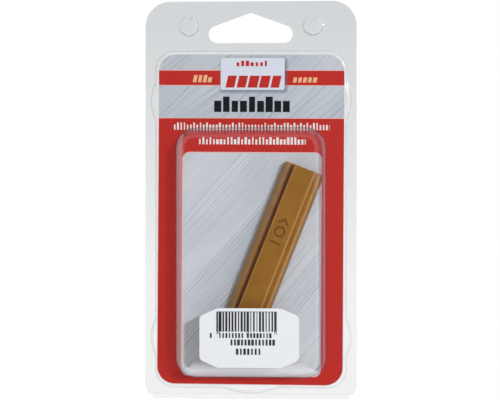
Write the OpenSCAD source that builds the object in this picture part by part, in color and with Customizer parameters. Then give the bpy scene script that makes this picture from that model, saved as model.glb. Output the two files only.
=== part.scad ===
// Hang-sell pack with a furniture repair wax stick. A clear sheet is folded at the bottom edge into a
// front and a back half, which snap together round a printed card, and the stick lies loose in the
// front bubble. Millimetres. The origin is the top of the hang hole, +Z is up, the front faces -Y.
// Each piece is drawn as the pack lies on a bench, front up: x across, y along, z up through its
// layers. stand_up() then turns it upright. The sizes start from the stick: the bubble is formed
// round it, the pocket round the bubble, and the rim and its holes round the pocket.

/* [Wax stick] */
// Length of the stick
stick_l = 80; // [60:1:100]
// Width of the stick on the card
stick_w = 17.2; // [14:0.1:20]
// Thickness of the stick, with its ridge
stick_t = 9; // [7:0.1:11]
// Height of the upright foot of the stick's sides
stick_foot_h = 0.8; // [0.4:0.1:1.5]
// How far each side slopes in on the way to its shoulder
stick_side_run = 1.6; // [1:0.05:2.4]
// Width of the flat shoulder on each side of the ridge
stick_shoulder_w = 2.3; // [1.5:0.05:2.8]
// Height of the ridge over the shoulders
ridge_h = 2.7; // [1:0.1:4]
// How far each steep side of the ridge leans in on the way to its top
ridge_side_run = 0.3; // [0.1:0.05:0.8]
// Radius of the stick's corners, seen from the front
stick_corner_r = 1.6; // [0.5:0.1:3]
// Lean of the stick to the right, in degrees
stick_lean = 21.6; // [15:0.1:24]

/* [Shade marks on the stick] */
// Width of each pressed mark across the ridge
mark_w = 4.4; // [2:0.1:5]
// Gap between one mark and the next
mark_gap = 0.3; // [0.1:0.1:2]
// Width of the strokes
mark_stroke = 0.7; // [0.3:0.05:0.9]
// Depth of the strokes
mark_depth = 0.4; // [0.1:0.05:0.6]
// Distance of the middle mark from the upper end of the stick
mark_drop = 27; // [20:0.5:45]

/* [Room round the stick] */
// Gap between the stick and the card
stick_card_gap = 0.05; // [0.02:0.01:0.2]
// Room between the stick and the bubble's face
stick_front_room = 4; // [2:0.5:8]
// Room between the stick's upper corner and the bubble's right wall
stick_side_room = 0.5; // [0.3:0.05:1]
// Room between the middle of the stick's lower end and the lower edge of the bubble
stick_foot_room = 9.2; // [7:0.1:14]
// Room between the stick's highest corner and the upper edge of the bubble
stick_head_room = 12.85; // [6:0.05:20]

/* [Bubble] */
// Width of the bubble where its walls meet the pocket's face
bubble_w = 59.6; // [56:0.1:70]
// Slope of the bubble's walls, in degrees
bubble_draft = 12; // [4:1:16]
// Corner radius of the bubble at the pocket's face
bubble_corner_r = 8; // [7.5:0.1:12]
// Radius of the bubble's front edges
bubble_edge_r = 2.6; // [1:0.1:3.5]
// Radius of the fillet at the foot of the bubble
bubble_foot_r = 0.6; // [0.3:0.1:1.2]

/* [Card pocket] */
// Width of the pocket's face on each side of the bubble
pocket_side = 8.6; // [7:0.1:12]
// Height of the pocket's face under the bubble
pocket_foot = 4.7; // [3:0.1:8]
// Height of the pocket's face over the bubble
pocket_head = 31.3; // [20:0.1:50]
// Outer radius of the pocket corners
pocket_corner_r = 7.3; // [4:0.1:10]
// Inner depth of the pocket
pocket_depth = 2; // [1.6:0.1:3]
// Length of a side lock bump along the pocket's edge
side_bump_l = 14.2; // [10:0.1:20]
// How far a side lock bump stands out of the pocket's edge
side_bump_out = 1.9; // [1:0.1:2.5]
// Distance of the side lock bumps from the pocket's ends
side_bump_set_in = 20.3; // [18:0.1:30]
// Length of the bottom lock bump
end_bump_l = 20.5; // [14:0.1:26]
// How far the bottom lock bump stands out of the pocket's edge
end_bump_out = 2.2; // [1:0.1:2.5]
// Clearance between the raised field of the back half and the pocket's wall
nest_clear = 0.15; // [0.1:0.01:0.3]

/* [Card] */
// Thickness of the printed card
card_t = 0.4; // [0.25:0.05:0.6]
// Corner radius of the card
card_corner_r = 7.3; // [4:0.1:10]
// Clearance between the card and each side wall of the pocket
card_side_clear = 0.5; // [0.45:0.05:1.5]
// Clearance between the card and each end wall of the pocket
card_end_clear = 0.9; // [0.5:0.1:2]
// Gap between the card's print and the pocket's face
card_face_gap = 0.1; // [0.05:0.01:0.2]
// How far the card sits askew, in degrees
card_tilt = 0.35; // [0:0.01:0.35]

/* [Rim] */
// Thickness of the clear sheet
sheet_t = 0.4; // [0.3:0.05:0.6]
// Gap between the two halves where their rims lie on each other
rim_gap = 0.05; // [0.02:0.01:0.2]
// Width of the rim on each side of the pocket
rim_w = 4.1; // [3:0.1:8]
// Radius of the two top corners
top_corner_r = 10; // [4:1:14]
// Radius of the two bottom corners
bottom_corner_r = 6; // [3:1:10]

/* [Hang hole] */
// Width of the hang hole across its round ends
hole_w = 34; // [28:1:40]
// Height of the hang hole, from its flat bottom to its apex
hole_h = 12.3; // [10:0.1:15]
// Radius of the round ends of the hang hole
hole_end_r = 3.6; // [2.5:0.1:4.5]
// Sheet left between the apex of the hole and the top edge of the pack
hole_bridge = 4.5; // [3:0.1:6]
// Sheet left between the flat bottom of the hole and the pocket
hole_foot = 3.2; // [2:0.1:8]

/* [Snap studs] */
// Outer diameter of a stud on the front half
stud_d = 8.2; // [6:0.1:9]
// Height of a stud over the rim of the front half
stud_h = 2; // [1.5:0.1:3]
// Sheet left between a stud and the hang hole
stud_hole_gap = 3.9; // [2:0.1:5]
// Distance of the studs below the top edge of the pack
stud_drop = 10; // [8:0.5:12]
// Radius of the vent notch in the upper side of each stud
stud_notch_r = 1.4; // [0.8:0.1:1.8]
// Clearance between the stud of the back half and the one of the front half
stud_clear = 0.1; // [0.05:0.01:0.2]

/* [Folded edge] */
// Outer radius of the rolled bead that joins the halves
hinge_r = 0.9; // [0.7:0.05:1.5]
// Wall of the rolled bead
hinge_wall = 0.3; // [0.2:0.05:0.4]
// Distance of the bead's ends from the sides of the pack
hinge_set_in = 3; // [2.8:0.1:10]
// Strip of rim between the bead and the bottom lock bump
hinge_strip = 0.4; // [0.3:0.1:4]
// Clearance between the bead and the rim of the back half
hinge_seat_gap = 0.03; // [0.02:0.01:0.1]
// Clearance between the bead and the rim of the front half
hinge_run_gap = 0.08; // [0.05:0.01:0.1]

/* [Price label] */
// Width of the label
label_w = 39; // [30:0.1:46]
// Height of the label
label_h = 23.3; // [16:0.1:28]
// Cut of the label's corners along its width
label_cut_x = 7.2; // [3:0.1:10]
// Cut of the label's corners along its height
label_cut_y = 3.1; // [1:0.1:5]
// Radius that rounds the label's corners
label_corner_r = 2.4; // [1:0.1:5]
// Thickness of the label
label_t = 0.12; // [0.08:0.01:0.2]
// Distance of the label over the lower end of the bubble's flat face
label_set_in = 0.5; // [0:0.1:20]

/* [Hidden] */
$fn = 96;
arc_steps = 10;
edge_steps = 6;
// Overrun of the cuts past the faces that they open
over = 0.5;

// Levels above the plane on which the halves meet
pocket_inner_z = rim_gap + pocket_depth;
pocket_face_z = pocket_inner_z + sheet_t;
card_back_z = pocket_inner_z - card_face_gap - card_t;
card_front_z = card_back_z + card_t;
stick_z = card_front_z + stick_card_gap;
bubble_face_z = stick_z + stick_t + stick_front_room + sheet_t;
stud_inner_z = rim_gap + stud_h - sheet_t;

// What the bubble's sloping wall and rounded edge take off its outline on the way to its face
bubble_fillet_run = (1 - sin(bubble_draft)) / cos(bubble_draft);
bubble_set_in = (bubble_face_z - pocket_face_z) * tan(bubble_draft) + bubble_edge_r * bubble_fillet_run;
bubble_face_r = bubble_corner_r - bubble_set_in;
bubble_foot_x = bubble_corner_r + bubble_foot_r * bubble_fillet_run;

// Places along the pack, from the hang hole down to the folded edge
bubble_h = stick_foot_room + stick_l * cos(stick_lean) + stick_w / 2 * sin(stick_lean) + stick_head_room;
pocket_h = pocket_foot + bubble_h + pocket_head;
pocket_low = -hole_h - hole_foot - pocket_h;
bubble_low = pocket_low + pocket_foot;
hinge_y = pocket_low - end_bump_out - hinge_strip - hinge_r;
pack_bottom = hinge_y - hinge_r;

// Widths across the pack
pocket_w = bubble_w + 2 * pocket_side;
pack_w = pocket_w + 2 * rim_w;
stud_r = stud_d / 2;

// The stick leans until its rounded upper corner is a clearance away from the bubble's right wall
stick_reach = stick_l * sin(stick_lean) + stick_w / 2 * cos(stick_lean)
            - stick_corner_r * (sin(stick_lean) + cos(stick_lean) - 1);
stick_foot_x = bubble_w / 2 - sheet_t / cos(bubble_draft) - stick_side_room - stick_reach;

function arc(x, y, r, from, to, steps) =
    [for (i = [0:steps]) let (a = from + (to - from) * i / steps) [x + r * cos(a), y + r * sin(a)]];

// Outline of a box with round corners, centred on x = 0, from y0 up to y1
function round_box(w, y0, y1, r0, r1) = concat(
    arc(w / 2 - r1, y1 - r1, r1, 0, 90, arc_steps),
    arc(r1 - w / 2, y1 - r1, r1, 90, 180, arc_steps),
    arc(r0 - w / 2, y0 + r0, r0, 180, 270, arc_steps),
    arc(w / 2 - r0, y0 + r0, r0, 270, 360, arc_steps));

// Radius of the circle that stands out by rise over a chord
function bulge_r(chord, rise) = (chord * chord / 4 + rise * rise) / (2 * rise);

// A convex outline, drawn counterclockwise, with each corner rounded
function rounded(points, r) = let (n = len(points)) [for (i = [0:n - 1]) let (
        corner = points[i],
        to_last = (points[(i + n - 1) % n] - corner) / norm(points[(i + n - 1) % n] - corner),
        to_next = (points[(i + 1) % n] - corner) / norm(points[(i + 1) % n] - corner),
        half = acos(to_last * to_next) / 2,
        centre = corner + (to_last + to_next) / norm(to_last + to_next) * r / sin(half),
        middle = atan2(corner.y - centre.y, corner.x - centre.x),
        turn = 90 - half)
    each arc(centre.x, centre.y, r, middle - turn, middle + turn, edge_steps)];

module stand_up() {
    rotate([90, 0, 0]) children();
}

module layer(z0, z1) {
    translate([0, 0, z0]) linear_extrude(height = z1 - z0) children();
}

module rim_outline() {
    polygon(round_box(pack_w, pack_bottom, hole_bridge, bottom_corner_r, top_corner_r));
}

// The pocket with its lock bumps, drawn in by inset all round
module pocket_outline(inset) {
    side_r = bulge_r(side_bump_l, side_bump_out);
    end_r = bulge_r(end_bump_l, end_bump_out);
    corner_r = pocket_corner_r - inset;
    high = pocket_low + pocket_h;
    polygon(round_box(pocket_w - 2 * inset, pocket_low + inset, high - inset, corner_r, corner_r));
    for (side = [-1, 1], y = [pocket_low + side_bump_set_in, high - side_bump_set_in])
        translate([side * (pocket_w / 2 + side_bump_out - side_r), y]) circle(r = side_r - inset);
    translate([0, pocket_low - end_bump_out + end_r]) circle(r = end_r - inset);
}

module stud_outlines(inset) {
    for (side = [-1, 1])
        translate([side * (hole_w / 2 + stud_hole_gap + stud_r), hole_bridge - stud_drop])
            difference() {
                circle(r = stud_r - inset);
                translate([0, stud_r]) circle(r = stud_notch_r + inset);
            }
}

// A triangle with its apex at the origin and two round lower ends
module hang_hole_outline() {
    end_x = hole_w / 2 - hole_end_r;
    end_y = hole_end_r - hole_h;
    slope = atan(-end_y / end_x) - asin(hole_end_r / norm([end_x, end_y]));
    right = arc(end_x, end_y, hole_end_r, -90, 90 - slope, 2 * arc_steps);
    last = len(right) - 1;
    polygon(concat([[0, 0]], [for (i = [last:-1:0]) [-right[i].x, right[i].y]], right));
}

module hang_hole() {
    layer(-sheet_t - over, rim_gap + sheet_t + over) hang_hole_outline();
}

// Everything that a rim has to leave free round the folded edge
module hinge_room(gap) {
    wide = pack_w + 2 * over;
    deep = 2 * (hinge_r + over);
    translate([0, hinge_y, 0]) rotate([0, 90, 0]) cylinder(r = hinge_r + gap, h = wide, center = true);
    translate([-wide / 2, hinge_y - hinge_r - over, -deep / 2]) cube([wide, hinge_r + over, deep]);
}

// Section of the bubble's wall, from its foot to its face, as [distance from the corner's centre, height]
function bubble_wall(inset) = concat(
    arc(bubble_foot_x, pocket_face_z + bubble_foot_r, bubble_foot_r + inset, 270, 180 + bubble_draft, edge_steps),
    arc(bubble_face_r, bubble_face_z - bubble_edge_r, bubble_edge_r - inset, bubble_draft, 90, edge_steps));

// A straight run of the bubble: the wall's section on both sides of a core, extruded along y
module bubble_run(core, length, inset, floor_z) {
    wall = [for (p = bubble_wall(inset)) [core / 2 + p.x, p.y]];
    foot = core / 2 + bubble_foot_x;
    last = len(wall) - 1;
    rotate([90, 0, 0]) linear_extrude(height = length, center = true)
        polygon(concat([[-foot, floor_z], [foot, floor_z]], wall,
                       [for (i = [last:-1:0]) [-wall[i].x, wall[i].y]]));
}

// The bubble as a solid from floor_z up to its face, drawn in by inset all round
module bubble_body(inset, floor_z) {
    core_w = bubble_w - 2 * bubble_corner_r;
    core_h = bubble_h - 2 * bubble_corner_r;
    section = concat([[0, floor_z], [bubble_foot_x, floor_z]], bubble_wall(inset),
                     [[0, bubble_face_z - inset]]);
    translate([0, bubble_low + bubble_h / 2, 0]) {
        bubble_run(core_w, core_h, inset, floor_z);
        rotate(90) bubble_run(core_h, core_w, inset, floor_z);
        for (turn = [0:3]) {
            across = turn == 0 || turn == 3 ? 1 : -1;
            along = turn < 2 ? 1 : -1;
            translate([across * core_w / 2, along * core_h / 2, 0])
                rotate(90 * turn) rotate_extrude(angle = 90) polygon(section);
        }
    }
}

module front_cover() {
    color([0.86, 0.9, 0.92, 0.35]) stand_up() difference() {
        union() {
            layer(rim_gap, rim_gap + sheet_t) rim_outline();
            layer(rim_gap, pocket_face_z) pocket_outline(0);
            layer(rim_gap, rim_gap + stud_h) stud_outlines(0);
            bubble_body(0, rim_gap);
        }
        layer(rim_gap - over, pocket_inner_z) pocket_outline(sheet_t);
        layer(rim_gap - over, stud_inner_z) stud_outlines(sheet_t);
        bubble_body(sheet_t, rim_gap - over);
        hang_hole();
        hinge_room(hinge_run_gap);
    }
}

module back_cover() {
    nest = sheet_t + nest_clear;
    stud_nest = sheet_t + stud_clear;
    stud_top = stud_inner_z - stud_clear;
    color([0.8, 0.85, 0.88, 0.35]) stand_up() difference() {
        union() {
            layer(-sheet_t, 0) rim_outline();
            layer(-sheet_t, card_back_z) pocket_outline(nest);
            layer(-sheet_t, stud_top) stud_outlines(stud_nest);
        }
        layer(-sheet_t - over, card_back_z - sheet_t) pocket_outline(nest + sheet_t);
        layer(-sheet_t - over, stud_top - sheet_t) stud_outlines(stud_nest + sheet_t);
        hang_hole();
        hinge_room(hinge_seat_gap);
    }
}

module living_hinge() {
    color([0.75, 0.82, 0.85, 0.5]) stand_up() translate([0, hinge_y, 0]) rotate([0, 90, 0]) difference() {
        cylinder(r = hinge_r, h = pack_w - 2 * hinge_set_in, center = true);
        cylinder(r = hinge_r - hinge_wall, h = pack_w, center = true);
    }
}

module insert_card() {
    card_w = pocket_w - 2 * (sheet_t + card_side_clear);
    card_h = pocket_h - 2 * (sheet_t + card_end_clear);
    color([0.72, 0.19, 0.16]) stand_up() translate([0, pocket_low + pocket_h / 2, 0])
        rotate(-card_tilt) layer(card_back_z, card_front_z)
            polygon(round_box(card_w, -card_h / 2, card_h / 2, card_corner_r, card_corner_r));
}

module price_label() {
    flat_x = label_w / 2 - label_cut_x;
    flat_y = label_h / 2 - label_cut_y;
    corners = [[flat_x, label_h / 2], [-flat_x, label_h / 2], [-label_w / 2, flat_y],
               [-label_w / 2, -flat_y], [-flat_x, -label_h / 2], [flat_x, -label_h / 2],
               [label_w / 2, -flat_y], [label_w / 2, flat_y]];
    color([0.95, 0.95, 0.97]) stand_up()
        translate([0, bubble_low + bubble_set_in + label_set_in + label_h / 2, 0])
            layer(bubble_face_z, bubble_face_z + label_t) polygon(rounded(corners, label_corner_r));
}

// Half of the stick's section: upright foot, sloping side, shoulder, steep ridge
function stick_side() = let (
        shoulder_x = stick_w / 2 - stick_side_run,
        shoulder_z = stick_t - ridge_h,
        ridge_x = shoulder_x - stick_shoulder_w) [
    [stick_w / 2, 0],
    [stick_w / 2, stick_foot_h],
    [shoulder_x, shoulder_z],
    [ridge_x, shoulder_z],
    [ridge_x - ridge_side_run, stick_t]];

// A bar, a ring and a chevron, one above the other, pressed into the ridge as a shade mark
module shade_marks() {
    mark_r = mark_w / 2;
    mark_pitch = mark_w + mark_gap;
    chevron_stroke = mark_stroke / sin(45);
    translate([0, -mark_pitch]) square([mark_w, mark_stroke], center = true);
    difference() {
        circle(r = mark_r);
        circle(r = mark_r - mark_stroke);
    }
    translate([0, mark_pitch])
        polygon([[-mark_r, -mark_r / 2], [0, mark_r / 2], [mark_r, -mark_r / 2],
                 [mark_r - chevron_stroke, -mark_r / 2], [0, mark_r / 2 - chevron_stroke],
                 [chevron_stroke - mark_r, -mark_r / 2]]);
}

module wax_stick() {
    side = stick_side();
    last = len(side) - 1;
    section = concat(side, [for (i = [last:-1:0]) [-side[i].x, side[i].y]]);
    color([0.6, 0.42, 0.22]) stand_up()
        translate([stick_foot_x, bubble_low + stick_foot_room, stick_z]) rotate(-stick_lean) difference() {
            intersection() {
                translate([0, stick_l, 0]) rotate([90, 0, 0]) linear_extrude(height = stick_l) polygon(section);
                layer(-over, stick_t + over)
                    polygon(round_box(stick_w, 0, stick_l, stick_corner_r, stick_corner_r));
            }
            translate([0, stick_l - mark_drop, 0]) layer(stick_t - mark_depth, stick_t + over) shade_marks();
        }
}

front_cover();
back_cover();
living_hinge();
insert_card();
price_label();
wax_stick();
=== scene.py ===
from functools import partial
from math import cos, pi, radians, sin, sqrt

import bmesh
import bpy
import numpy as np
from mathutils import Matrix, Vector


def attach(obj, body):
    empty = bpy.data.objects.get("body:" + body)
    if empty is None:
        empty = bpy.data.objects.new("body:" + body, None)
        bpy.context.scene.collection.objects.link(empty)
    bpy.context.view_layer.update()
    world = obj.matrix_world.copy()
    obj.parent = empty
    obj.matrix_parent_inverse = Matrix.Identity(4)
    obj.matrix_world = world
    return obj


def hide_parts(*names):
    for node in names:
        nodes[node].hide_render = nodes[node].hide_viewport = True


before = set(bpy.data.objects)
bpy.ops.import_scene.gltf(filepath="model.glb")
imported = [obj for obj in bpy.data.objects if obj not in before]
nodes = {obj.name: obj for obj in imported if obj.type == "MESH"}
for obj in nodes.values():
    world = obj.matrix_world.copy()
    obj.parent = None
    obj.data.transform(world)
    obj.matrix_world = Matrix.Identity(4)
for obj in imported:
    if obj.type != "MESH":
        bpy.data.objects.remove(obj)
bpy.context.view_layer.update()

mm = 0.001  # sizes below are in millimetres, up the pack and out of its front


def spot(x, up, front):
    return Vector((x * mm, -front * mm, up * mm))


def boxPath(size):
    # counterclockwise as seen from the front: places and the ways out of the outline
    radius, halfWide = size["radius"], size["wide"] / 2
    low, high = size["low"], size["low"] + size["high"]
    places, ways = [], []
    corners = [(halfWide - radius, high - radius, 0), (radius - halfWide, high - radius, 90),
               (radius - halfWide, low + radius, 180), (halfWide - radius, low + radius, 270)]
    for k, (cx, cz, start) in enumerate(corners):
        for i in range(size["cornerSteps"] + 1):
            a = radians(start + 90 * i / size["cornerSteps"])
            places.append((cx + radius * cos(a), cz + radius * sin(a)))
            ways.append((cos(a), sin(a)))
        nx, nz, nextStart = corners[(k + 1) % 4]
        a = radians(nextStart if nextStart else 360)
        goal = (nx + radius * cos(a), nz + radius * sin(a))
        here = places[-1]
        away = sqrt((goal[0] - here[0]) ** 2 + (goal[1] - here[1]) ** 2)
        count = max(1, round(away / size["step"]))
        for i in range(1, count):
            t = i / count
            places.append((here[0] + (goal[0] - here[0]) * t, here[1] + (goal[1] - here[1]) * t))
            ways.append((cos(a), sin(a)))
    return np.array(places), np.array(ways)


def blendOf(a, b, k):
    # the lower of two distances, with a soft join
    h = np.clip(0.5 + 0.5 * (b - a) / k, 0, 1)
    return b * (1 - h) + a * h - k * h * (1 - h)


def contour(places, ways, distance, inset, near, far):
    # slides every place along its way until it lies inset inside the outline
    low = np.full(len(places), float(near))
    high = np.full(len(places), float(far))
    for _ in range(40):
        middle = (low + high) / 2
        outside = distance(places + ways * middle[:, None]) > -inset
        high = np.where(outside, middle, high)
        low = np.where(outside, low, middle)
    return places + ways * ((low + high) / 2)[:, None]


def wallProfile(foot, low, high, draft, footRadius, topRadius, steps, wallSteps=1):
    # section of a formed wall from one level to the next: (inset, level) pairs
    a = radians(draft)
    side = (1 - sin(a)) / cos(a)
    section = []
    for i in range(steps + 1):
        t = radians(-90 + (90 - draft) * i / steps)
        section.append((foot - footRadius * side + footRadius * cos(t),
                        low + footRadius + footRadius * sin(t)))
    centre = foot + ((high - topRadius - low) * sin(a) + topRadius) / cos(a)
    arc = [(centre + topRadius * cos(t), high - topRadius + topRadius * sin(t))
           for t in [radians(180 - draft + (draft - 90) * i / steps) for i in range(steps + 1)]]
    first, last = section[-1], arc[0]
    for i in range(1, wallSteps):
        t = (i / wallSteps) ** 1.5
        section.append((first[0] + (last[0] - first[0]) * t, first[1] + (last[1] - first[1]) * t))
    return section + arc


sheet = dict(wide=85, top=4.5, low=-155.498, topRadius=10, lowRadius=6, thick=0.4, frontLevel=0.45,
             backLevel=0, cutAt=-153.68, strip=0.08, holeWide=34, holeHigh=12.3, holeEnd=3.6,
             holeTip=[(0.45, -0.17), (0.2, -0.06)], lowSteps=16, topSteps=28)
pocket = dict(wide=76.8, high=135.598, low=-151.098, radius=7.3, sideLong=14.2, sideOut=1.9, sideSetIn=20.3,
              endLong=20.5, endOut=2.2, join=1.2, cornerSteps=16, step=0.8, reach=(-3, 4))
stud = dict(radius=4.1, notch=1.2, away=25, up=-5.5, join=0.25, steps=96, reach=(0, 6))
bubble = dict(wide=59.6, high=99.598, low=-146.398, radius=8, cornerSteps=24, step=6, flatRing=3)
# the sections of the formed walls; the back half's stud and field nest in the cup and the pocket
walls = dict(cup=dict(foot=0, low=0.45, high=2.05, draft=5, footRadius=0.45, topRadius=0.5, steps=6),
             pocket=dict(foot=0, low=0.45, high=2.45, draft=7, footRadius=0.45, topRadius=0.65, steps=6),
             bubble=dict(foot=0, low=2.45, high=15.4, draft=12, footRadius=0.6, topRadius=2.6, steps=12,
                         wallSteps=9),
             stud=dict(foot=0.5, low=0, high=1.55, draft=5, footRadius=0.4, topRadius=0.4, steps=6),
             field=dict(foot=0.58, low=0, high=1.53, draft=7, footRadius=0.4, topRadius=0.5, steps=6))


# a face of a cut edge hardly leans, is small and is as deep as the sheet, in metres
cutFace = dict(lean=0.02, area=4e-6, slack=2e-6)


def bulgeRadius(chord, rise):
    return (chord * chord / 4 + rise * rise) / (2 * rise)


def pocketDistance(p):
    halfWide, halfHigh = pocket["wide"] / 2, pocket["high"] / 2
    middle = pocket["low"] + halfHigh
    qx = np.abs(p[:, 0]) - halfWide + pocket["radius"]
    qz = np.abs(p[:, 1] - middle) - halfHigh + pocket["radius"]
    d = np.hypot(np.maximum(qx, 0), np.maximum(qz, 0)) + np.minimum(np.maximum(qx, qz), 0) - pocket["radius"]
    r = bulgeRadius(pocket["sideLong"], pocket["sideOut"])
    for side in (-1, 1):
        for end in (-1, 1):
            cx = side * (halfWide + pocket["sideOut"] - r)
            cz = middle + end * (halfHigh - pocket["sideSetIn"])
            d = blendOf(d, np.hypot(p[:, 0] - cx, p[:, 1] - cz) - r, pocket["join"])
    r = bulgeRadius(pocket["endLong"], pocket["endOut"])
    return blendOf(d, np.hypot(p[:, 0], p[:, 1] - pocket["low"] + pocket["endOut"] - r) - r, pocket["join"])


def studDistance(p):
    cup = np.hypot(p[:, 0], p[:, 1]) - stud["radius"]
    notch = stud["notch"] - np.hypot(p[:, 0], p[:, 1] - stud["radius"])
    return -blendOf(-cup, -notch, stud["join"])


def pocketLoops(profile):
    places, ways = boxPath(pocket)
    loops = [(contour(places, ways, pocketDistance, inset, *pocket["reach"]), level)
             for inset, level in profile]
    for points, level in loops:
        # a strip of flat rim stays between the bottom lock bump and the cut over the bead
        points[:, 1] = np.maximum(points[:, 1], sheet["cutAt"] + sheet["strip"])
    return loops


def studLoops(profile, side):
    angles = np.linspace(0, 2 * pi, stud["steps"] + 1)[:-1] + pi / 2
    ways = np.stack([np.cos(angles), np.sin(angles)], axis=1)
    places = np.zeros_like(ways)
    centre = np.array([side * stud["away"], stud["up"]])
    return [(contour(places, ways, studDistance, inset, *stud["reach"]) + centre, level)
            for inset, level in profile]


def bubbleLoops(profile):
    places, ways = boxPath(bubble)
    return [(places - ways * inset, level) for inset, level in profile]


def holeLoop(level):
    endX = sheet["holeWide"] / 2 - sheet["holeEnd"]
    endZ = sheet["holeEnd"] - sheet["holeHigh"]
    slope = np.arctan2(-endZ, endX) - np.arcsin(sheet["holeEnd"] / np.hypot(endX, endZ))
    arc = [(endX + sheet["holeEnd"] * cos(a), endZ + sheet["holeEnd"] * sin(a))
           for a in np.linspace(-pi / 2, pi / 2 - slope, sheet["topSteps"])]
    left = [(-x, z) for x, z in reversed(arc)]
    outer, inner = sheet["holeTip"]
    return np.array([(-outer[0], outer[1]), *left, *arc, outer, inner, (-inner[0], inner[1])]), level


def rimLoop(level):
    # the rims end just over the rolled bead
    half = sheet["wide"] / 2
    top, low = sheet["topRadius"], sheet["lowRadius"]
    start = np.arcsin((sheet["cutAt"] - sheet["low"] - low) / low)
    right = [(half - low + low * cos(a), sheet["low"] + low + low * sin(a))
             for a in np.linspace(start, 0, sheet["lowSteps"])]
    right += [(half - top + top * cos(a), sheet["top"] - top + top * sin(a))
              for a in np.linspace(0, pi / 2, sheet["topSteps"])]
    left = [(-x, z) for x, z in reversed(right)]
    return np.array(right + left), level


def addLoop(build, loop, shade=(0, 0)):
    points, level = loop
    ring = [build.verts.new(spot(x, z, level)) for x, z in points]
    for name, value in zip(("paintedBendShade", "paintedBendReflection"), shade):
        layer = build.verts.layers.float.get(name)
        if layer:
            for vert in ring:
                vert[layer] = value
    return ring


def newSheet():
    build = bmesh.new()
    build.verts.layers.float.new("paintedBendShade")
    build.verts.layers.float.new("paintedBendReflection")
    return build


def bendShades(section, stops):
    # how much painted shade and painted reflection a formed wall has, from stops of (length along its
    # section, dark, reflection)
    steps = [np.hypot(b[0] - a[0], b[1] - a[1]) for a, b in zip(section, section[1:])]
    along = np.concatenate([[0], np.cumsum(steps)])
    if stops[-1][0] < 0:
        stops = [(along[-1] + s if s < 0 else s, dark, reflection) for s, dark, reflection in stops]
    places = [s for s, dark, reflection in stops]
    return list(zip(np.interp(along, places, [dark for s, dark, reflection in stops]),
                    np.interp(along, places, [reflection for s, dark, reflection in stops])))


def edgesOf(build, ring):
    count = len(ring)
    found = []
    for i in range(count):
        pair = (ring[i], ring[(i + 1) % count])
        found.append(build.edges.get(pair) or build.edges.new(pair))
    return found


def bridge(build, first, second, smooth=True):
    count = len(first)
    for i in range(count):
        k = (i + 1) % count
        build.faces.new((first[i], first[k], second[k], second[i])).smooth = smooth


def loft(build, loops, shades):
    rings = [addLoop(build, loop, shade) for loop, shade in zip(loops, shades)]
    for first, second in zip(rings, rings[1:]):
        bridge(build, first, second)
    return rings[0], rings[-1]


def fillFlat(build, *rings):
    edges = [edge for ring in rings for edge in edgesOf(build, ring)]
    made = bmesh.ops.triangle_fill(build, use_beauty=True, use_dissolve=False, edges=edges)
    for item in made["geom"]:
        if isinstance(item, bmesh.types.BMFace):
            item.smooth = False


def faceFront(build):
    bmesh.ops.recalc_face_normals(build, faces=build.faces)
    if sum(face.normal.y * face.calc_area() for face in build.faces) > 0:
        bmesh.ops.reverse_faces(build, faces=build.faces)


def newObject(name, build):
    mesh = bpy.data.meshes.new(name)
    build.to_mesh(mesh)
    build.free()
    piece = bpy.data.objects.new(name, mesh)
    bpy.context.scene.collection.objects.link(piece)
    return piece


def applied(piece):
    # takes the modifiers' result as the piece's own mesh
    depsgraph = bpy.context.evaluated_depsgraph_get()
    mesh = bpy.data.meshes.new_from_object(piece.evaluated_get(depsgraph), depsgraph=depsgraph)
    piece.modifiers.clear()
    old = piece.data
    piece.data = mesh
    bpy.data.meshes.remove(old)
    mesh.name = piece.name
    return piece


def thicken(piece, amount):
    wall = piece.modifiers.new("wall", "SOLIDIFY")
    wall.thickness = amount * mm
    wall.offset = -1
    wall.use_even_offset = True
    applied(piece)
    flatRims(piece.data)
    return piece


def flatRims(mesh):
    # cut edges stand across the sheet, so they are shaded flat
    for face in mesh.polygons:
        if abs(face.normal.y) < cutFace["lean"] and face.area < cutFace["area"]:
            levels = [mesh.vertices[v].co.y for v in face.vertices]
            if abs(max(levels) - min(levels) - sheet["thick"] * mm) < cutFace["slack"]:
                face.use_smooth = False


# length along the wall's section, how much painted shade, how much painted reflection; a length below 0
# counts from its upper end
shades = dict(cup=[(0, 0, 0), (0.3, 0, 0.1), (0.45, 0.16, 0), (0.6, 0.46, 0), (0.9, 0.42, 0), (1.2, 0, 0),
                   (-0.3, 0, 0.1), (-0.001, 0, 0)],
              pocket=[(0, 0, 0), (0.12, 0, 0.12), (0.24, 0, 0), (0.34, 0.42, 0), (0.46, 0.1, 0),
                      (0.58, 0, 0.06), (1.4, 0, 0.12), (-0.3, 0, 0.12), (-0.001, 0, 0)],
              stud=[(0, 0, 0), (0.2, 0, 0.1), (-0.3, 0, 0.1), (-0.001, 0, 0)],
              field=[(0, 0, 0), (0.2, 0, 0.1), (-0.3, 0, 0.1), (-0.001, 0, 0)],
              bubble=[(0, 0, 0), (0.2, 0.42, 0), (0.5, 0.05, 0.05), (0.8, 0, 0.12), (2.4, 0, 0.09),
                      (4.4, 0, 0.02), (8, 0, 0), (-4.6, 0, 0), (-3.8, 0, 0.045), (-3, 0, 0)])
# each wall of the bubble gets its own painted light: share of painted shade, share of painted reflection,
# added painted reflection and reach
wallLight = dict(left=(1, 1, 0.14, 3.4), right=(1, 0.6, 0, 3.4), top=(1.3, 0.25, 0, 3.4),
                 foot=(0, 1, 0.37, 5.2))
# above the pocket's face the walls get painted light from this level, and the added painted reflection from
# the next
litFrom, reflectionFrom = 0.05, 1


def formedWall(build, name, loopsOf, flatRing=0):
    section = wallProfile(**walls[name])
    if flatRing:
        section.append((section[-1][0] + flatRing, walls[name]["high"]))
    return loft(build, loopsOf(section), bendShades(section, shades[name]))


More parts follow.
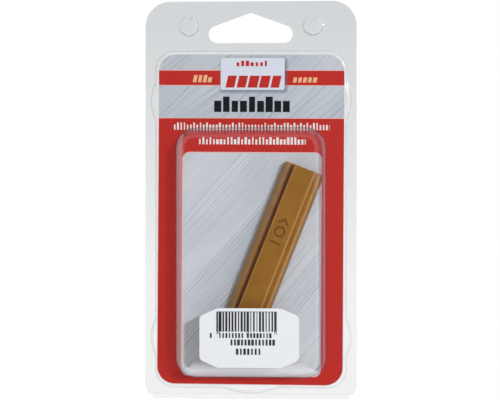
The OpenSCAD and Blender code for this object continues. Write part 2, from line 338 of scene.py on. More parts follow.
def lightBubbleWalls(build):
    # painted light: each wall's painted shade and painted reflection are scaled by its side, and some walls
    # get more painted reflection
    darkLayer = build.verts.layers.float["paintedBendShade"]
    paleLayer = build.verts.layers.float["paintedBendReflection"]
    halfWide, foot = bubble["wide"] / 2, bubble["low"]
    top = foot + bubble["high"]
    for vert in build.verts:
        x, up, height = vert.co.x / mm, vert.co.z / mm, -vert.co.y / mm - walls["bubble"]["low"]
        if abs(x) > halfWide or not foot < up < top or height < litFrom:
            continue
        outer = dict(left=x + halfWide, right=halfWide - x, top=top - up, foot=up - foot)
        side = min(outer, key=outer.get)
        dark, reflection, more, reach = wallLight[side]
        if outer[side] < reach:
            vert[darkLayer] *= dark
            vert[paleLayer] *= reflection
            if height > reflectionFrom:
                vert[paleLayer] += more


def formedRim(build, level, studName, fieldName):
    # the flat rim of one half with its hole, its studs and the wall of its raised field, which stays open
    rings = [addLoop(build, rimLoop(level)), addLoop(build, holeLoop(level))]
    for side in (-1, 1):
        foot, top = formedWall(build, studName, partial(studLoops, side=side))
        fillFlat(build, top)
        rings.append(foot)
    foot, top = formedWall(build, fieldName, pocketLoops)
    fillFlat(build, *rings, foot)
    return top


def finishedSheet(name, build):
    faceFront(build)
    return thicken(newObject(name, build), sheet["thick"])


def frontSheet():
    build = newSheet()
    pocketTop = formedRim(build, sheet["frontLevel"], "cup", "pocket")
    bubbleFoot, bubbleTop = formedWall(build, "bubble", bubbleLoops, bubble["flatRing"])
    fillFlat(build, pocketTop, bubbleFoot)
    fillFlat(build, bubbleTop)
    lightBubbleWalls(build)
    return finishedSheet("frontSheet", build)


def backSheet():
    build = newSheet()
    fillFlat(build, formedRim(build, sheet["backLevel"], "stud", "field"))
    return finishedSheet("backSheet", build)


stick = dict(long=80, halfWide=8.6, lean=21.6, x=-8.0782, up=-137.198, level=2.0, thick=9,
             # right to left over the top: (across, level) of each edge and its radius
             right=[(8.6, 0.8, 0.6), (7.2, 6.3, 0.4), (5.2, 6.3, 0.25), (4.9, 9, 0.35)],
             left=[(-3.75, 9, 0.25), (-4.4, 6.3, 0.25), (-7.0, 6.3, 0.8), (-8.35, 0.8, 0.7)],
             footRadius=0.25, endRadius=0.4, leftCorner=2.0, rightCorner=1.2, fanLevel=3,
             markAcross=0.3, markAt=53, markSize=2.2, markGap=4.7, markReach=7.6, stroke=0.7, markDeep=0.45,
             markSoft=0.16, cell=0.13, longest=0.35, plainBelow=0.5, steps=5, rowGap=2.2, firstRow=4,
             lastRow=3, cornerRows=[0.6, 0.8, 1.0, 1.2, 1.5, 1.8, 2.1])


def roundedLine(points, radii, steps):
    # an open line of (x, level) points with each inner corner rounded
    line = [np.array(points[0], float)]
    for k in range(1, len(points) - 1):
        corner = np.array(points[k], float)
        back = np.array(points[k - 1], float) - corner
        ahead = np.array(points[k + 1], float) - corner
        back /= np.linalg.norm(back)
        ahead /= np.linalg.norm(ahead)
        half = np.arccos(np.clip(back @ ahead, -1, 1)) / 2
        reach = radii[k - 1] / np.tan(half)
        centre = corner + (back + ahead) / np.linalg.norm(back + ahead) * radii[k - 1] / np.sin(half)
        first = corner + back * reach - centre
        last = corner + ahead * reach - centre
        turn = np.arctan2(first[0] * last[1] - first[1] * last[0], first @ last)
        for i in range(steps + 1):
            a = turn * i / steps
            line.append(centre + np.array([first[0] * cos(a) - first[1] * sin(a),
                                           first[0] * sin(a) + first[1] * cos(a)]))
    line.append(np.array(points[-1], float))
    return np.array(line)


def stickSection():
    top, middle, footRadius = stick["thick"], stick["markAcross"], stick["footRadius"]
    rightX, rightLevels, rightRadii = zip(*stick["right"])
    leftX, leftLevels, leftRadii = zip(*stick["left"])
    right = roundedLine([(middle, 0), (stick["halfWide"], 0), *zip(rightX, rightLevels), (middle, top)],
                        [footRadius, *rightRadii], stick["steps"])
    left = roundedLine([(middle, top), *zip(leftX, leftLevels), (leftX[-1], 0), (middle, 0)],
                       [*leftRadii, footRadius], stick["steps"])
    start, end = right[-2][0], left[1][0]
    count = round((start - end) / stick["cell"])
    crown = [(start + (end - start) * i / count, top) for i in range(1, count)]
    return divided(np.array([*right[:-1], *crown, *left[1:-1]]), stick["longest"])


def divided(loop, longest):
    # adds points along the straight stretches above the foot
    points = []
    for here, ahead in zip(loop, np.roll(loop, -1, axis=0)):
        count = 1
        if max(here[1], ahead[1]) > stick["plainBelow"]:
            count = max(1, int(np.ceil(np.linalg.norm(ahead - here) / longest)))
        points += [here + (ahead - here) * i / count for i in range(count)]
    return np.array(points)


# how far the painted highlights on the edges reach, and where the painted shade in the crease and the painted
# sheen begin and end
tints = dict(ridgeHighlight=0.5, shoulderHighlight=0.6, leftHighlight=0.4, leftShare=0.5, creaseOut=0.75, fade=0.3,
             creaseTop=0.25, creaseFoot=0.4, sheenHigh=2, endFade=0.6, endClear=0.3)


def stickTint(x, level):
    # 1 for a painted highlight on the edges, for painted shade in the crease on the shaded side of the ridge,
    # and for a painted sheen on the left side
    def near(edge, reach):
        return np.exp(-((x - edge[0]) ** 2 + (level - edge[1]) ** 2) / reach ** 2)

    paintedHighlight = near(stick["right"][3], tints["ridgeHighlight"])
    paintedHighlight = np.maximum(paintedHighlight, near(stick["right"][1], tints["shoulderHighlight"]))
    paintedHighlight = np.maximum(paintedHighlight, tints["leftShare"] * near(stick["left"][0], tints["leftHighlight"]))
    top, foot = stick["left"][0], stick["left"][1]
    beside = np.maximum(x - top[0], 0) + np.maximum(foot[0] - tints["creaseOut"] - x, 0)
    creaseShade = np.clip(1 - beside / tints["fade"], 0, 1)
    creaseShade = creaseShade * np.clip((top[1] - tints["creaseTop"] - level) * 3, 0, 1)
    creaseShade = creaseShade * np.clip((level - foot[1] + tints["creaseFoot"]) * 5, 0, 1)
    paintedSheen = np.clip((foot[0] - x) / tints["fade"], 0, 1) * np.clip(level / tints["sheenHigh"], 0, 1)
    return paintedHighlight, creaseShade, paintedSheen


def markDepth(x, along):
    # how deep the bar, the ring and the chevron are pressed in at a place on the ridge
    half = stick["stroke"] / 2
    v = along - stick["markAt"]
    x = x - stick["markAcross"]
    size, gap = stick["markSize"], stick["markGap"]
    ring = np.abs(np.hypot(x, v) - size + half) - half
    bar = np.hypot(np.maximum(np.abs(x) - size + half, 0), v + gap) - half
    arm = size - half / sin(radians(45))
    px = np.abs(x)
    pz = v - gap
    t = np.clip((px - pz + size / 2 - stick["stroke"] * 0.7) / (2 * arm), 0, 1)
    chevron = np.hypot(px - arm * t, pz - (size / 2 - half * 1.4) + arm * t) - half
    d = np.minimum(np.minimum(ring, bar), chevron)
    t = np.clip(0.5 - d / stick["markSoft"], 0, 1)
    return stick["markDeep"] * t * t * (3 - 2 * t)


def cornerLimit(fromEnd, radius):
    half = stick["halfWide"]
    inside = np.clip(radius - fromEnd, 0, radius)
    return half - radius + np.sqrt(np.maximum(radius ** 2 - inside ** 2, 0))


def waxStick():
    section = stickSection()
    tangent = np.roll(section, -1, axis=0) - np.roll(section, 1, axis=0)
    inward = np.stack([-tangent[:, 1], tangent[:, 0]], axis=1)
    inward /= np.maximum(np.linalg.norm(inward, axis=1), 1e-9)[:, None]
    long, r = stick["long"], stick["endRadius"]
    ends = [r * (1 - cos(a)) for a in np.linspace(0, pi / 2, 7)]
    ends += stick["cornerRows"]
    low, high = stick["markAt"] - stick["markReach"], stick["markAt"] + stick["markReach"]
    rows = [*ends, *np.arange(stick["firstRow"], low, stick["rowGap"]), *np.arange(low, high, stick["cell"]),
            *np.arange(high, long - stick["lastRow"], stick["rowGap"]), *[long - e for e in reversed(ends)]]
    build = bmesh.new()
    layers = [build.verts.layers.float.new(name) for name in ("paintedHighlight", "creaseShade", "paintedSheen")]
    rings = []
    for along in rows:
        fromEnd = min(along, long - along)
        pull = r - sqrt(max(r * r - max(r - fromEnd, 0) ** 2, 0))
        ring = section + inward * pull
        right = cornerLimit(fromEnd, stick["rightCorner"]) - pull
        left = cornerLimit(fromEnd, stick["leftCorner"]) - pull
        x = np.clip(ring[:, 0], -left, right)
        level = ring[:, 1].copy()
        deep = np.where(level > stick["thick"] - 1e-6, markDepth(x, along), 0)
        # cast wax isn't dead true
        sway = 0.03 * np.sin(along * 0.16 + 1) - 0.03 + 0.015 * np.sin(x * 0.5 + along * 0.07)
        paintedHighlight, creaseShade, paintedSheen = stickTint(x, level)
        # painted shade also darkens the pressed marks
        creaseShade = np.maximum(creaseShade, 0.55 * deep / stick["markDeep"])
        level = np.clip(level - deep + np.where(level > 1, sway, 0), 0, stick["thick"])
        made = [build.verts.new(stickSpot(px, along, h)) for px, h in zip(x, level)]
        paintedHighlight = paintedHighlight * min(1, fromEnd / tints["endFade"])
        creaseShade = creaseShade * min(1, max(0, fromEnd - tints["endClear"]) / tints["endFade"])
        for layer, shares in zip(layers, (paintedHighlight, creaseShade, paintedSheen)):
            for vert, share in zip(made, shares):
                vert[layer] = share
        rings.append(made)
    for first, second in zip(rings, rings[1:]):
        bridge(build, first, second)
    # each end is a fan about a point that sees the whole section
    for ring, along in ((rings[0], 0), (rings[-1], long)):
        middle = build.verts.new(stickSpot(stick["markAcross"], along, stick["fanLevel"]))
        for i, vert in enumerate(ring):
            build.faces.new((vert, ring[i - 1], middle))
    bmesh.ops.remove_doubles(build, verts=build.verts, dist=1e-7)
    bmesh.ops.recalc_face_normals(build, faces=build.faces)
    return newObject("waxStick", build)


def stickSpot(x, along, level):
    a = radians(stick["lean"])
    return spot(stick["x"] + x * cos(a) + along * sin(a), stick["up"] - x * sin(a) + along * cos(a),
                stick["level"] + level)


def feed(tree, socket, value):
    # links another socket to this one, or sets its value
    if isinstance(value, bpy.types.NodeSocket):
        tree.links.new(value, socket)
    else:
        socket.default_value = value


def addNode(tree, kind, inputs=None, **settings):
    node = tree.nodes.new(kind)
    for name, value in settings.items():
        setattr(node, name, value)
    for name, value in (inputs or {}).items():
        feed(tree, node.inputs[name], value)
    return node


def newMaterial(name):
    material = bpy.data.materials.new(name)
    material.use_nodes = True
    material.node_tree.nodes.clear()
    return material, material.node_tree


def srgb(r, g, b):
    # a colour as read off a screen, made linear
    line = [c / 255 for c in (r, g, b)]
    return (*[c / 12.92 if c <= 0.04045 else ((c + 0.055) / 1.055) ** 2.4 for c in line], 1)


def maths(operation, tree, a, b=None, clamp=False):
    inputs = {0: a} if b is None else {0: a, 1: b}
    return addNode(tree, "ShaderNodeMath", inputs, operation=operation, use_clamp=clamp).outputs[0]


plus, minus, times, over, power, lower, higher, above, absolute, whole, root = [
    partial(maths, name) for name in ("ADD", "SUBTRACT", "MULTIPLY", "DIVIDE", "POWER", "MINIMUM", "MAXIMUM",
                                      "GREATER_THAN", "ABSOLUTE", "FLOOR", "SQRT")]


def mixColours(tree, share, first, second):
    return addNode(tree, "ShaderNodeMix", {0: share, 6: first, 7: second}, data_type="RGBA").outputs[2]


def mixShaders(tree, share, first, second):
    return addNode(tree, "ShaderNodeMixShader", {0: share, 1: first, 2: second}).outputs[0]


def mapRange(tree, value, fromLow, fromHigh, toLow, toHigh):
    inputs = {"Value": value, "From Min": fromLow, "From Max": fromHigh, "To Min": toLow, "To Max": toHigh}
    return addNode(tree, "ShaderNodeMapRange", inputs).outputs["Result"]


def objectPlace(tree):
    return addNode(tree, "ShaderNodeTexCoord").outputs["Object"]


def splitUp(tree, vector):
    return addNode(tree, "ShaderNodeSeparateXYZ", {0: vector}).outputs


def attribute(tree, name):
    return addNode(tree, "ShaderNodeAttribute", attribute_name=name).outputs["Fac"]


def noise(tree, vector, scale, detail):
    inputs = {"Vector": vector, "Scale": scale, "Detail": detail}
    return addNode(tree, "ShaderNodeTexNoise", inputs).outputs["Fac"]


def bump(tree, height, strength, distance):
    inputs = {"Height": height, "Strength": strength, "Distance": distance}
    return addNode(tree, "ShaderNodeBump", inputs).outputs[0]


def principled(tree, colour, roughness, specular, more=None):
    inputs = {"Base Color": colour, "Roughness": roughness, "Specular IOR Level": specular, **(more or {})}
    return addNode(tree, "ShaderNodeBsdfPrincipled", inputs).outputs[0]


def surface(tree, shader):
    addNode(tree, "ShaderNodeOutputMaterial", {"Surface": shader})


def newGroup(name, inputs, outputs):
    # an input with no value is a vector, the others are plain numbers
    group = bpy.data.node_groups.new(name, "ShaderNodeTree")
    for label, value in inputs.items():
        kind = "NodeSocketVector" if value is None else "NodeSocketFloat"
        socket = group.interface.new_socket(label, in_out="INPUT", socket_type=kind)
        if value is not None:
            socket.default_value = value
    for label in outputs:
        group.interface.new_socket(label, in_out="OUTPUT", socket_type="NodeSocketFloat")
    return group, addNode(group, "NodeGroupInput").outputs, addNode(group, "NodeGroupOutput").inputs


def place(tree, group, values):
    return addNode(tree, "ShaderNodeGroup", values, node_tree=group).outputs


clear = dict(frontFilm=0.012, backFilmTop=0.145, backFilmLow=0.004, fadeFrom=-0.108, fadeTo=-0.004,
             beadFilm=0.015, filmRoughness=0.4, gloss=0.035, faceOn=0.028, edgeOn=0.2, glossPower=5.0,
             edgeTint=0.35, edgePower=5.0, bendSpread=12.0, filmColour=(0.04, 0.12, 0.18, 1),
             paintedShadeColour=(0.05, 0.032, 0.07, 1), paintedReflectionColour=(0.82, 0.81, 0.855, 1))


def clearPlastic(name, filmTop, filmLow):
    material, tree = newMaterial(name)
    # painted shade darkens the bends at their foot and a painted reflection pales them higher up
    dark, pale = attribute(tree, "paintedBendShade"), attribute(tree, "paintedBendReflection")
    colour = clear["filmColour"]
    for shade, tone in ((dark, clear["paintedShadeColour"]), (pale, clear["paintedReflectionColour"])):
        colour = mixColours(tree, times(tree, shade, clear["bendSpread"], clamp=True), colour, tone)
    # the sheet darkens where it is seen edge-on, because more of it lies in the way
    facing = addNode(tree, "ShaderNodeLayerWeight", {"Blend": 0.5}).outputs["Facing"]
    tint = times(tree, power(tree, facing, clear["edgePower"]), clear["edgeTint"])
    tint = plus(tree, tint, plus(tree, dark, pale))
    film = filmTop
    if filmTop != filmLow:
        up = splitUp(tree, objectPlace(tree))["Z"]
        film = mapRange(tree, up, clear["fadeFrom"], clear["fadeTo"], filmLow, filmTop)
    alpha = plus(tree, tint, film, clamp=True)
    sheetFilm = principled(tree, colour, clear["filmRoughness"], 0.0, {"Alpha": alpha})
    gloss = addNode(tree, "ShaderNodeBsdfGlossy", {"Color": (1, 1, 1, 1), "Roughness": clear["gloss"]})
    # gloss grows towards the edges alike on both faces of the sheet
    edge = times(tree, power(tree, facing, clear["glossPower"]), clear["edgeOn"])
    share = plus(tree, edge, clear["faceOn"], clamp=True)
    surface(tree, mixShaders(tree, share, sheetFilm, gloss.outputs[0]))
    return material


def patchGroup():
    # mask of a rectangle with round corners, in millimetres
    names = ("Across", "Up", "Centre Across", "Centre Up", "Half Width", "Half Height", "Radius", "Softness")
    group, given, result = newGroup("roundPatch", dict.fromkeys(names, 0.0), ["Mask"])
    reach = []
    for axis, centre, half in (("Across", "Centre Across", "Half Width"), ("Up", "Centre Up", "Half Height")):
        away = absolute(group, minus(group, given[axis], given[centre]))
        reach.append(minus(group, away, minus(group, given[half], given["Radius"])))
    beyond = [higher(group, value, 0.0) for value in reach]
    corner = root(group, plus(group, *[times(group, value, value) for value in beyond]))
    inside = lower(group, higher(group, *reach), 0.0)
    distance = minus(group, plus(group, corner, inside), given["Radius"])
    feed(group, result["Mask"], minus(group, 0.5, over(group, distance, given["Softness"]), clamp=True))
    return group


# what a row of printed dashes is given, in the order of the card's rows
rowNames = ("Left", "Foot", "Length", "Height", "Pitch", "Least Fill", "Most Fill", "Low Share", "Slant",
            "Seed")


def dashGroup():
    # mask of a row of upright or slanted dashes whose widths and heights vary, in millimetres
    inputs = dict.fromkeys(("Across", "Up", *rowNames, "Softness", "Low Chance"), 0.0)
    group, given, result = newGroup("dashRow", inputs, ["Mask"])
    rise = minus(group, given["Up"], given["Foot"])
    slide = minus(group, minus(group, given["Across"], given["Left"]), times(group, rise, given["Slant"]))
    cells = over(group, slide, given["Pitch"])
    index = whole(group, cells)
    within = minus(group, minus(group, cells, index), 0.5)
    pair = addNode(group, "ShaderNodeCombineXYZ", {"X": index, "Y": given["Seed"]}).outputs[0]
    chance = addNode(group, "ShaderNodeTexWhiteNoise", {"Vector": pair}, noise_dimensions="2D")
    parts = addNode(group, "ShaderNodeSeparateColor", {0: chance.outputs["Color"]}).outputs
    spread = minus(group, given["Most Fill"], given["Least Fill"])
    fill = plus(group, given["Least Fill"], times(group, parts[0], spread))
    reach = minus(group, times(group, fill, 0.5), absolute(group, within))
    tall = above(group, parts[1], given["Low Chance"])
    top = times(group, higher(group, tall, given["Low Share"]), given["Height"])
    upright = lower(group, rise, minus(group, top, rise))
    ends = lower(group, slide, minus(group, given["Length"], slide))
    inside = lower(group, lower(group, times(group, reach, given["Pitch"]), upright), ends)
    feed(group, result["Mask"], plus(group, 0.5, over(group, inside, given["Softness"]), clamp=True))
    return group


def grainGroup():
    # pale sawn boards: thin dark lines along the grain, thicker in places, over soft bands
    inputs = {"Vector": None, "Angle": 0.0, "Lines Per Metre": 0.0, "Wander": 0.0}
    group, given, result = newGroup("paleGrain", inputs, ["Lines", "Bands"])
    turn = addNode(group, "ShaderNodeVectorRotate", {"Vector": given["Vector"], "Angle": given["Angle"]},
                   rotation_type="Y_AXIS")
    turned = splitUp(group, turn.outputs["Vector"])
    along, up = turned["X"], turned["Z"]

    def cloud(scale, alongShare, detail):
        inputs = {"X": times(group, along, scale * alongShare), "Z": times(group, up, scale)}
        return noise(group, addNode(group, "ShaderNodeCombineXYZ", inputs).outputs[0], 1.0, detail)

    bend = times(group, minus(group, cloud(28.0, 0.6, 1.0), 0.5), given["Wander"])
    across = plus(group, up, bend)

    def drawn(perMetre, width, seed):
        cells = times(group, across, perMetre)
        index = whole(group, cells)
        within = absolute(group, minus(group, minus(group, cells, index), 0.5))
        seeded = plus(group, index, seed)
        chance = addNode(group, "ShaderNodeTexWhiteNoise", {"W": seeded}, noise_dimensions="1D")
        line = minus(group, 1.0, over(group, within, width), clamp=True)
        return times(group, line, chance.outputs["Value"])

    wide = drawn(given["Lines Per Metre"], 0.2, 3.0)
    fine = drawn(times(group, given["Lines Per Metre"], 1.9), 0.28, 40.0)
    zone = mapRange(group, cloud(55.0, 0.35, 2.0), 0.36, 0.58, 0.25, 1.0)
    lines = higher(group, wide, times(group, fine, 0.55))
    feed(group, result["Lines"], times(group, lines, zone, clamp=True))
    feed(group, result["Bands"], cloud(90.0, 0.25, 3.0))
    return group


card = dict(up=-83.299, tilt=0.35, halfWide=37.5, halfHigh=66.499, front=1.95, radius=7.3, margin=0.28,
            soft=0.06, lowChance=0.6, printEdge=0.3, windowEdge=0.35, fineShare=0.55, topDark=0.2,
            footLight=0.4, footFrom=-22, footTo=-50, printDeep=0.01, shadowShare=0.9,
            shadowLook=dict(softness=2.2, grow=0.2, shift=(0.5, -0.55)),
            wood=srgb(217, 221, 228), woodBand=srgb(204, 209, 218), litWoodFoot=srgb(240, 241, 243),
            line=srgb(150, 157, 170), red=srgb(196, 42, 33), redEdge=srgb(232, 186, 180),
            plate=srgb(222, 226, 238), border=srgb(238, 238, 236), board=srgb(226, 226, 222),
            boardFibre=srgb(206, 205, 199), shadow=(0.1, 0.115, 0.15, 1), white=srgb(240, 238, 236),
            black=srgb(22, 22, 24), peach=srgb(240, 188, 140),
            # centre, half width, half height and corner radius
            band=(0, 56.8, 60, 2.9, 0.01), plateAt=(0.5, 58.4, 12.85, 6.45, 0.8),
            field=(0, -27, 60, 67.5, 0.01), window=(0.45, -18.0, 27.7, 44.7, 2.6),
            # the grain's angle, lines per metre and wander
            fieldGrain=(49, 800.0, 0.006), topGrain=(44, 420.0, 0.016), fineGrain=(47, 1300.0, 0.01),
            # left, foot, length, height, pitch, least and most fill, low share, slant, seed
            title=(-15.2, 43.1, 31.0, 6.2, 3.445, 0.7, 0.86, 0.73, 0, 4),
            lineOne=(-31.4, 35.9, 62.8, 2.9, 1.3, 0.35, 0.62, 0.72, 0, 11),
            lineTwo=(-21.3, 30.1, 43.2, 2.9, 1.42, 0.42, 0.72, 0.72, 0, 23),
            wordLeft=(-23.9, 55.0, 8.1, 2.9, 2.0, 0.6, 0.8, 0.7, 0.2, 7),
            wordRight=(16.3, 55.0, 10.1, 2.9, 2.0, 0.6, 0.8, 0.7, 0.2, 9),
            boards=(-10.9, 52.9, 22.6, 6.0, 4.5, 0.7, 0.86, 0.8, 0.22, 2),
            plateWord=(-6.4, 61.5, 12.6, 2.2, 1.9, 0.5, 0.78, 0.7, 0, 15))


def printedCard():
    material, tree = newMaterial("printedCard")
    here = objectPlace(tree)
    onCard = {"Vector": here, "Location": (0, 0, card["up"] * mm), "Rotation": (0, radians(card["tilt"]), 0)}
    flat = addNode(tree, "ShaderNodeMapping", onCard, vector_type="TEXTURE").outputs[0]
    x, y, z = splitUp(tree, flat)
    across, up = times(tree, x, 1000.0), times(tree, z, 1000.0)
    patchMask, dashMask, grain = patchGroup(), dashGroup(), grainGroup()

    def patch(at, softness=card["soft"], grow=0.0, shift=(0, 0)):
        cx, cz, halfWide, halfHigh, radius = at
        values = {"Across": across, "Up": up, "Centre Across": cx + shift[0], "Centre Up": cz + shift[1],
                  "Half Width": halfWide + grow, "Half Height": halfHigh + grow, "Radius": radius + grow,
                  "Softness": softness}
        return place(tree, patchMask, values)["Mask"]

    def boards(at):
        degrees, perMetre, wander = at
        values = {"Vector": flat, "Angle": radians(degrees), "Lines Per Metre": perMetre, "Wander": wander}
        return place(tree, grain, values)

    inField, onTop, fineLines = [boards(card[name]) for name in ("fieldGrain", "topGrain", "fineGrain")]
    window = patch(card["window"])
    lines = addNode(tree, "ShaderNodeMix", {0: window, 2: onTop["Lines"], 3: inField["Lines"]}).outputs[0]
    bands = mapRange(tree, inField["Bands"], 0.35, 0.65, 0, 1)
    wood = mixColours(tree, bands, card["wood"], card["woodBand"])
    wood = mixColours(tree, times(tree, fineLines["Lines"], card["fineShare"]), wood, card["line"])
    # the boards above the field are darker, and painted light makes the window paler towards its foot
    wood = mixColours(tree, mapRange(tree, window, 0, 1, card["topDark"], 0), wood, card["line"])
    pale = mapRange(tree, up, card["footFrom"], card["footTo"], 0, card["footLight"])
    wood = mixColours(tree, pale, wood, card["litWoodFoot"])
    wood = mixColours(tree, lines, wood, card["line"])
    # the band and the field, with the pale edge that the print leaves round them
    colour = wood
    for area in (card["band"], card["field"]):
        colour = mixColours(tree, patch(area, grow=card["printEdge"]), colour, card["redEdge"])
        colour = mixColours(tree, patch(area), colour, card["red"])
    colour = mixColours(tree, patch(card["window"], grow=card["windowEdge"]), colour, card["redEdge"])
    colour = mixColours(tree, window, colour, wood)
    # the plate lies over the band with a soft shadow
    shade = times(tree, patch(card["plateAt"], **card["shadowLook"]), card["shadowShare"])
    colour = mixColours(tree, shade, colour, card["shadow"])
    colour = mixColours(tree, patch(card["plateAt"]), colour, card["plate"])
    # plain dashes stand where words were
    for row, ink in (("boards", "red"), ("plateWord", "red"), ("wordLeft", "peach"), ("wordRight", "peach"),
                     ("title", "black"), ("lineOne", "white"), ("lineTwo", "white")):
        values = {"Across": across, "Up": up, "Softness": card["soft"], "Low Chance": card["lowChance"],
                  **dict(zip(rowNames, card[row]))}
        colour = mixColours(tree, place(tree, dashMask, values)["Mask"], colour, card[ink])
    # a white margin all round, and bare board at the cut edges and on the back
    margin = card["margin"]
    body = patch((0, 0, card["halfWide"] - margin, card["halfHigh"] - margin, card["radius"] - margin))
    colour = mixColours(tree, body, card["border"], colour)
    printed = above(tree, times(tree, y, -1000.0), card["front"] - card["printDeep"])
    fibre = noise(tree, here, 900.0, 3.0)
    board = mixColours(tree, fibre, card["board"], card["boardFibre"])
    colour = mixColours(tree, printed, board, colour)
    surface(tree, principled(tree, colour, 0.4, 0.15, {"Normal": bump(tree, fibre, 0.08, 0.0001)}))
    return material


waxLook = dict(dark=srgb(147, 97, 16), light=srgb(155, 103, 19), paintedSheen=srgb(158, 128, 92),
               paintedHighlight=srgb(194, 150, 82), creaseShade=srgb(96, 44, 4), share=0.85)


def waxMaterial():
    material, tree = newMaterial("wax")
    here = objectPlace(tree)
    clouds = noise(tree, here, 160.0, 3.0)
    colour = mixColours(tree, mapRange(tree, clouds, 0.35, 0.65, 0, 1), waxLook["dark"], waxLook["light"])
    # a painted sheen pales the left side, painted highlights light the edges and painted shade darkens the
    # crease beside the ridge
    sheenShare = times(tree, attribute(tree, "paintedSheen"), mapRange(tree, clouds, 0.3, 0.7, 0.3, 0.6))
    colour = mixColours(tree, sheenShare, colour, waxLook["paintedSheen"])
    for name in ("paintedHighlight", "creaseShade"):
        colour = mixColours(tree, times(tree, attribute(tree, name), waxLook["share"]), colour, waxLook[name])
    more = {"Normal": bump(tree, noise(tree, here, 700.0, 2.0), 0.04, 0.0002), "Subsurface Weight": 0.12,
            "Subsurface Radius": (0.002, 0.001, 0.0005), "Subsurface Scale": 0.6}
    surface(tree, principled(tree, colour, mapRange(tree, clouds, 0.3, 0.7, 0.36, 0.5), 0.3, more))
    return material


def paperMaterial():
    material, tree = newMaterial("labelPaper")
    fibre = noise(tree, objectPlace(tree), 1200.0, 3.0)
    colour = mixColours(tree, fibre, srgb(226, 228, 234), srgb(231, 233, 238))
    surface(tree, principled(tree, colour, 0.62, 0.3, {"Normal": bump(tree, fibre, 0.06, 0.0001)}))
    return material


def inkMaterial(name, colour):
    material, tree = newMaterial(name)
    speckle = noise(tree, objectPlace(tree), 2500.0, 1.0)
    lighter = tuple(min(1, c * 1.25 + 0.01) for c in colour[:3]) + (1,)
    mixed = mixColours(tree, mapRange(tree, speckle, 0.45, 0.75, 0, 1), colour, lighter)
    surface(tree, principled(tree, mixed, 0.5, 0.3))
    return material


label = dict(up=-129.39, wide=38.96, high=23.26, cutX=7.2, cutUp=3.1, radius=2.4, back=15.41, front=15.455,
             inkDeep=0.056, inkSunk=0.002, ink=srgb(38, 38, 46),
             # left, middle up from the label's centre, count, pitch, least and most width, height, seed
             rows=[(-12.5, 6.3, 20, 1.195, 0.28, 1.05, 7.6, 5), (-12.5, 5.8, 2, 0.7, 0.28, 0.34, 8.6, 6),
                   (-0.9, 5.8, 2, 0.7, 0.24, 0.28, 8.6, 6), (9.9, 5.8, 2, 0.7, 0.24, 0.28, 8.6, 6),
                   (-15.0, 1.0, 1, 0.85, 0.7, 0.7, 1.9, 1), (-11.4, 1.0, 8, 1.25, 0.4, 0.9, 1.9, 2),
                   (-0.5, 1.0, 8, 1.25, 0.4, 0.9, 1.9, 3), (-6.9, -1.7, 13, 1.37, 0.6, 1.05, 2.3, 8),
                   (-4.7, -5.3, 7, 1.45, 0.6, 1.1, 2.4, 12), (-1.0, 10.25, 1, 1.0, 23.6, 23.6, 0.22, 0)])


def roundedOutline(points, radius, steps):
    count = len(points)
    outline = []
    for k in range(count):
        line = roundedLine([points[k - 1], points[k], points[(k + 1) % count]], [radius], steps)
        outline += list(line[1:-1])
    return np.array(outline)


def labelPaper():
    halfX, halfUp = label["wide"] / 2, label["high"] / 2
    flatX, flatUp = halfX - label["cutX"], halfUp - label["cutUp"]
    corners = [(flatX, halfUp), (-flatX, halfUp), (-halfX, flatUp), (-halfX, -flatUp),
               (-flatX, -halfUp), (flatX, -halfUp), (halfX, -flatUp), (halfX, flatUp)]
    outline = roundedOutline(corners, label["radius"], 6)
    outline[:, 1] += label["up"]
    build = bmesh.new()
    back = addLoop(build, (outline, label["back"]))
    front = addLoop(build, (outline, label["front"]))
    bridge(build, back, front, smooth=False)
    fillFlat(build, back)
    fillFlat(build, front)
    bmesh.ops.recalc_face_normals(build, faces=build.faces)
    return newObject("labelPaper", build)


def inkTree():
    # a row of printed dashes whose widths vary, along x from the row's first place
    tree = bpy.data.node_groups.new("inkRow", "GeometryNodeTree")
    tree.interface.new_socket("Geometry", in_out="INPUT", socket_type="NodeSocketGeometry")
    kinds = {"Start": "Vector", "Count": "Int", "Pitch": "Float", "Least Width": "Float",
             "Most Width": "Float", "Height": "Float", "Thickness": "Float", "Seed": "Int", "Ink": "Material"}
    places = {}
    for name, kind in kinds.items():
        socket = tree.interface.new_socket(name, in_out="INPUT", socket_type="NodeSocket" + kind)
        places[name] = socket.identifier
    tree.interface.new_socket("Geometry", in_out="OUTPUT", socket_type="NodeSocketGeometry")
    given = addNode(tree, "NodeGroupInput").outputs
    step = addNode(tree, "ShaderNodeCombineXYZ", {"X": given["Pitch"]}).outputs[0]
    line = addNode(tree, "GeometryNodeMeshLine", {"Count": given["Count"], "Start Location": given["Start"],
                                                  "Offset": step}).outputs["Mesh"]
    chance = addNode(tree, "FunctionNodeRandomValue", {"Seed": given["Seed"]}).outputs[1]
    width = mapRange(tree, power(tree, chance, 1.2), 0, 1, given["Least Width"], given["Most Width"])
    size = addNode(tree, "ShaderNodeCombineXYZ", {"X": width, "Y": given["Thickness"], "Z": given["Height"]})
    dash = addNode(tree, "GeometryNodeMeshCube").outputs["Mesh"]
    stamp = addNode(tree, "GeometryNodeInstanceOnPoints", {"Points": line, "Instance": dash,
                                                           "Scale": size.outputs[0]})
    real = addNode(tree, "GeometryNodeRealizeInstances", {0: stamp.outputs[0]})
    inked = addNode(tree, "GeometryNodeSetMaterial", {"Geometry": real.outputs[0], "Material": given["Ink"]})
    addNode(tree, "NodeGroupOutput", {"Geometry": inked.outputs["Geometry"]})
    return tree, places


